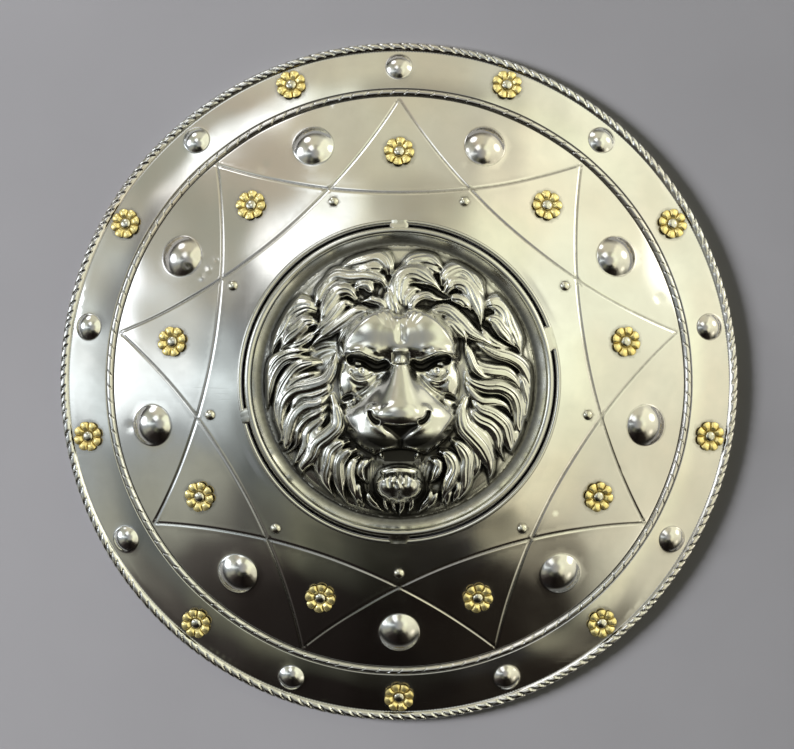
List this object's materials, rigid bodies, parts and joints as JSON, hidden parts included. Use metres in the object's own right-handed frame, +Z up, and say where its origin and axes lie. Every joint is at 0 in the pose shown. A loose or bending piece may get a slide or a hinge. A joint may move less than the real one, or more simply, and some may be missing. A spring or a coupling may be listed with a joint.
{
  "type": "round lion-head shield",
  "caption": "Round domed steel shield with a roped rim, brass rosettes, pressed bosses and star lines, and a lion's head medallion in the middle.",
  "frame": {"origin": "on the floor, under the middle of the rim, with the shield lying face up", "axes": "+Z up, out of the shield's face; +Y towards the top of the lion's head; +X to the right as the face is looked at"},
  "size_m": [0.61, 0.61, 0.097],
  "materials": {
    "sheet_steel": "polished by hand, slightly cloudy, with fine scratches",
    "cast_steel": "polished on the high parts and dark in the recesses",
    "rivet_steel": "bright",
    "brass": "polished, darker in the creases"
  },
  "bodies": {
    "root": {"shield_plate": "sheet_steel", "lion_medallion": "cast_steel", "band_rosette_01": "brass", "band_rosette_02": "brass", "band_rosette_03": "brass", "band_rosette_04": "brass", "band_rosette_05": "brass", "band_rosette_06": "brass", "band_rosette_07": "brass", "band_rosette_08": "brass", "band_rosette_09": "brass", "band_rosette_pin_01": "rivet_steel", "band_rosette_pin_02": "rivet_steel", "band_rosette_pin_03": "rivet_steel", "band_rosette_pin_04": "rivet_steel", "band_rosette_pin_05": "rivet_steel", "band_rosette_pin_06": "rivet_steel", "band_rosette_pin_07": "rivet_steel", "band_rosette_pin_08": "rivet_steel", "band_rosette_pin_09": "rivet_steel", "dome_rosette_01": "brass", "dome_rosette_02": "brass", "dome_rosette_03": "brass", "dome_rosette_04": "brass", "dome_rosette_05": "brass", "dome_rosette_06": "brass", "dome_rosette_07": "brass", "dome_rosette_08": "brass", "dome_rosette_09": "brass", "dome_rosette_pin_01": "rivet_steel", "dome_rosette_pin_02": "rivet_steel", "dome_rosette_pin_03": "rivet_steel", "dome_rosette_pin_04": "rivet_steel", "dome_rosette_pin_05": "rivet_steel", "dome_rosette_pin_06": "rivet_steel", "dome_rosette_pin_07": "rivet_steel", "dome_rosette_pin_08": "rivet_steel", "dome_rosette_pin_09": "rivet_steel", "dome_rivet_01": "rivet_steel", "dome_rivet_02": "rivet_steel", "dome_rivet_03": "rivet_steel", "dome_rivet_04": "rivet_steel", "dome_rivet_05": "rivet_steel", "dome_rivet_06": "rivet_steel", "dome_rivet_07": "rivet_steel", "dome_rivet_08": "rivet_steel", "dome_rivet_09": "rivet_steel"}
  },
  "joints": []
}
